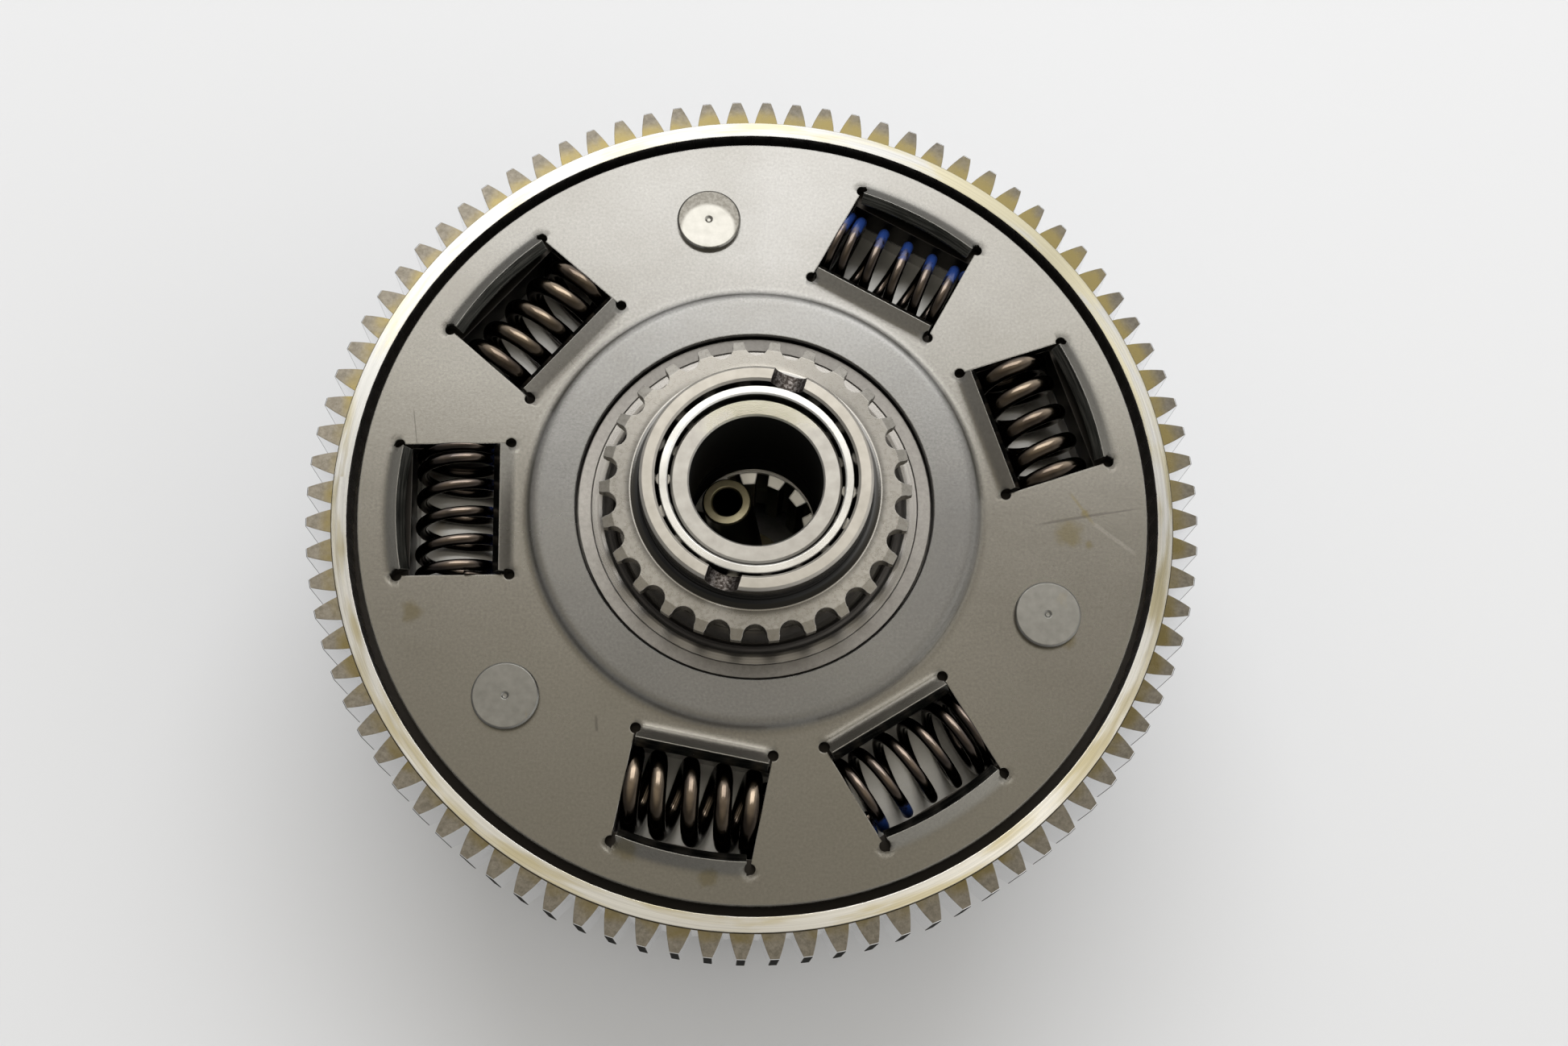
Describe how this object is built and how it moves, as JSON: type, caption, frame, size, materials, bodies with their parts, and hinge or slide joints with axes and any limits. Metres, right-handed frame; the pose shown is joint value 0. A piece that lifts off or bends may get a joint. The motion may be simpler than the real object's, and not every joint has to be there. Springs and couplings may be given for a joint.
{
  "type": "motorcycle multi-plate clutch",
  "caption": "Wet multi-plate motorcycle clutch: slotted basket with toothed primary gear and spring damper, sprocket on a central collar, hub, plate pack, pressure plate and release rod.",
  "frame": {"origin": "on the clutch's axis, at the plane the five spring-bolt heads stand on", "axes": "+Z along the clutch's axis, from the pressure plate towards the collar (the crankshaft side); +X is to the right in the reference view"},
  "size_m": [0.1574, 0.1574, 0.0875],
  "materials": {
    "cast_aluminium": "satin",
    "stamped_steel": "satin",
    "rivet_steel": "polished",
    "turned_steel": "satin",
    "gear_steel": "satin",
    "light_spring_steel": "polished",
    "strong_spring_steel": "polished",
    "bearing_steel": "polished",
    "sleeve_steel": "satin",
    "friction_lining": "matte",
    "plate_steel": "satin",
    "rod_steel": "satin",
    "coil_steel": "satin",
    "bolt_steel": "satin"
  },
  "bodies": {
    "housing": {"clutch_housing": "cast_aluminium", "damper_plate": "stamped_steel", "damper_rivet_1": "rivet_steel", "damper_rivet_2": "rivet_steel", "damper_rivet_3": "rivet_steel", "housing_boss": "turned_steel", "oil_pump_sprocket": "turned_steel", "gear_cushion_spring": "stamped_steel"},
    "primary_gear": {"primary_gear": "gear_steel"},
    "damper_springs": {"damper_spring_1": "light_spring_steel", "damper_spring_2": "light_spring_steel", "damper_spring_3": "light_spring_steel", "damper_spring_4": "strong_spring_steel", "damper_spring_5": "strong_spring_steel", "damper_spring_6": "strong_spring_steel"},
    "needle_bearing": {"needle_cage": "bearing_steel", "needle_rollers": "bearing_steel"},
    "hub": {"clutch_hub": "cast_aluminium", "bearing_sleeve": "sleeve_steel", "thrust_washer": "turned_steel", "judder_seat": "plate_steel", "judder_spring": "plate_steel", "clutch_spring_1": "coil_steel", "clutch_spring_2": "coil_steel", "clutch_spring_3": "coil_steel", "clutch_spring_4": "coil_steel", "clutch_spring_5": "coil_steel", "spring_washer_1": "bolt_steel", "spring_washer_2": "bolt_steel", "spring_washer_3": "bolt_steel", "spring_washer_4": "bolt_steel", "spring_washer_5": "bolt_steel", "spring_bolt_1": "bolt_steel", "spring_bolt_2": "bolt_steel", "spring_bolt_3": "bolt_steel", "spring_bolt_4": "bolt_steel", "spring_bolt_5": "bolt_steel"},
    "friction_plate_1": {"friction_plate_1": "friction_lining"},
    "friction_plate_2": {"friction_plate_2": "friction_lining"},
    "friction_plate_3": {"friction_plate_3": "friction_lining"},
    "friction_plate_4": {"friction_plate_4": "friction_lining"},
    "friction_plate_5": {"friction_plate_5": "friction_lining"},
    "friction_plate_6": {"friction_plate_6": "friction_lining"},
    "friction_plate_7": {"friction_plate_7": "friction_lining"},
    "steel_plate_1": {"steel_plate_1": "plate_steel"},
    "steel_plate_2": {"steel_plate_2": "plate_steel"},
    "steel_plate_3": {"steel_plate_3": "plate_steel"},
    "steel_plate_4": {"steel_plate_4": "plate_steel"},
    "steel_plate_5": {"steel_plate_5": "plate_steel"},
    "steel_plate_6": {"steel_plate_6": "plate_steel"},
    "pressure_plate": {"pressure_plate": "cast_aluminium", "bearing_outer_race": "bearing_steel"},
    "bearing_inner_race": {"bearing_inner_race": "bearing_steel"},
    "bearing_balls": {"bearing_balls": "bearing_steel"},
    "release_rod": {"release_rod": "rod_steel"}
  },
  "joints": [
    {"name": "damper_twist", "type": "hinge", "parent": "housing", "child": "primary_gear", "pos_m": [0, 0, 0.0632], "axis": [0, 0, 1], "range_deg": [-4, 4], "stiffness_Nm_per_rad": 1200, "deforming": ["damper_spring_1", "damper_spring_2", "damper_spring_3", "damper_spring_4", "damper_spring_5", "damper_spring_6"]},
    {"name": "damper_spring_travel", "type": "hinge", "parent": "housing", "child": "damper_springs", "pos_m": [0, 0, 0.0632], "axis": [0, 0, 1], "range_deg": [-2, 2]},
    {"name": "hub_spin", "type": "hinge", "parent": "housing", "child": "hub", "pos_m": [0, 0, 0.045], "axis": [0, 0, 1], "continuous": true},
    {"name": "needle_bearing_spin", "type": "hinge", "parent": "housing", "child": "needle_bearing", "pos_m": [0, 0, 0.0735], "axis": [0, 0, 1], "continuous": true},
    {"name": "pressure_plate_lift", "type": "slide", "parent": "hub", "child": "pressure_plate", "axis": [0, 0, -1], "range_m": [0, 0.0018], "stiffness_N_per_m": 60000, "springref_m": -0.0075, "deforming": ["clutch_spring_1", "clutch_spring_2", "clutch_spring_3", "clutch_spring_4", "clutch_spring_5"]},
    {"name": "friction_plate_1_slide", "type": "slide", "parent": "housing", "child": "friction_plate_1", "axis": [0, 0, -1], "range_m": [0, 0.0001296]},
    {"name": "friction_plate_2_slide", "type": "slide", "parent": "housing", "child": "friction_plate_2", "axis": [0, 0, -1], "range_m": [0, 0.0003867]},
    {"name": "friction_plate_3_slide", "type": "slide", "parent": "housing", "child": "friction_plate_3", "axis": [0, 0, -1], "range_m": [0, 0.0006439]},
    {"name": "friction_plate_4_slide", "type": "slide", "parent": "housing", "child": "friction_plate_4", "axis": [0, 0, -1], "range_m": [0, 0.000901]},
    {"name": "friction_plate_5_slide", "type": "slide", "parent": "housing", "child": "friction_plate_5", "axis": [0, 0, -1], "range_m": [0, 0.00116]},
    {"name": "friction_plate_6_slide", "type": "slide", "parent": "housing", "child": "friction_plate_6", "axis": [0, 0, -1], "range_m": [0, 0.00142]},
    {"name": "friction_plate_7_slide", "type": "slide", "parent": "housing", "child": "friction_plate_7", "axis": [0, 0, -1], "range_m": [0, 0.00167]},
    {"name": "steel_plate_1_slide", "type": "slide", "parent": "hub", "child": "steel_plate_1", "axis": [0, 0, -1], "range_m": [0, 0.0002581]},
    {"name": "steel_plate_2_slide", "type": "slide", "parent": "hub", "child": "steel_plate_2", "axis": [0, 0, -1], "range_m": [0, 0.0005153]},
    {"name": "steel_plate_3_slide", "type": "slide", "parent": "hub", "child": "steel_plate_3", "axis": [0, 0, -1], "range_m": [0, 0.0007724]},
    {"name": "steel_plate_4_slide", "type": "slide", "parent": "hub", "child": "steel_plate_4", "axis": [0, 0, -1], "range_m": [0, 0.00103]},
    {"name": "steel_plate_5_slide", "type": "slide", "parent": "hub", "child": "steel_plate_5", "axis": [0, 0, -1], "range_m": [0, 0.00129]},
    {"name": "steel_plate_6_slide", "type": "slide", "parent": "hub", "child": "steel_plate_6", "axis": [0, 0, -1], "range_m": [0, 0.00154]},
    {"name": "bearing_inner_spin", "type": "hinge", "parent": "pressure_plate", "child": "bearing_inner_race", "pos_m": [0, 0, 0.011], "axis": [0, 0, 1], "continuous": true},
    {"name": "bearing_ball_spin", "type": "hinge", "parent": "pressure_plate", "child": "bearing_balls", "pos_m": [0, 0, 0.011], "axis": [0, 0, 1], "continuous": true},
    {"name": "release_rod_tilt", "type": "hinge", "parent": "pressure_plate", "child": "release_rod", "pos_m": [0, 0, 0.011], "axis": [0.4985, 0.8669, 0], "range_deg": [0, 13]}
  ],
  "couplings": [
    {"joint": "damper_spring_travel", "follows": "damper_twist", "ratio": 0.5},
    {"joint": "needle_bearing_spin", "follows": "hub_spin", "ratio": 0.4589},
    {"joint": "friction_plate_1_slide", "follows": "pressure_plate_lift", "ratio": 0.0714},
    {"joint": "friction_plate_2_slide", "follows": "pressure_plate_lift", "ratio": 0.2143},
    {"joint": "friction_plate_3_slide", "follows": "pressure_plate_lift", "ratio": 0.3571},
    {"joint": "friction_plate_4_slide", "follows": "pressure_plate_lift", "ratio": 0.5},
    {"joint": "friction_plate_5_slide", "follows": "pressure_plate_lift", "ratio": 0.6429},
    {"joint": "friction_plate_6_slide", "follows": "pressure_plate_lift", "ratio": 0.7857},
    {"joint": "friction_plate_7_slide", "follows": "pressure_plate_lift", "ratio": 0.9286},
    {"joint": "steel_plate_1_slide", "follows": "pressure_plate_lift", "ratio": 0.1429},
    {"joint": "steel_plate_2_slide", "follows": "pressure_plate_lift", "ratio": 0.2857},
    {"joint": "steel_plate_3_slide", "follows": "pressure_plate_lift", "ratio": 0.4286},
    {"joint": "steel_plate_4_slide", "follows": "pressure_plate_lift", "ratio": 0.5714},
    {"joint": "steel_plate_5_slide", "follows": "pressure_plate_lift", "ratio": 0.7143},
    {"joint": "steel_plate_6_slide", "follows": "pressure_plate_lift", "ratio": 0.8571},
    {"joint": "bearing_ball_spin", "follows": "bearing_inner_spin", "ratio": 0.4012}
  ]
}
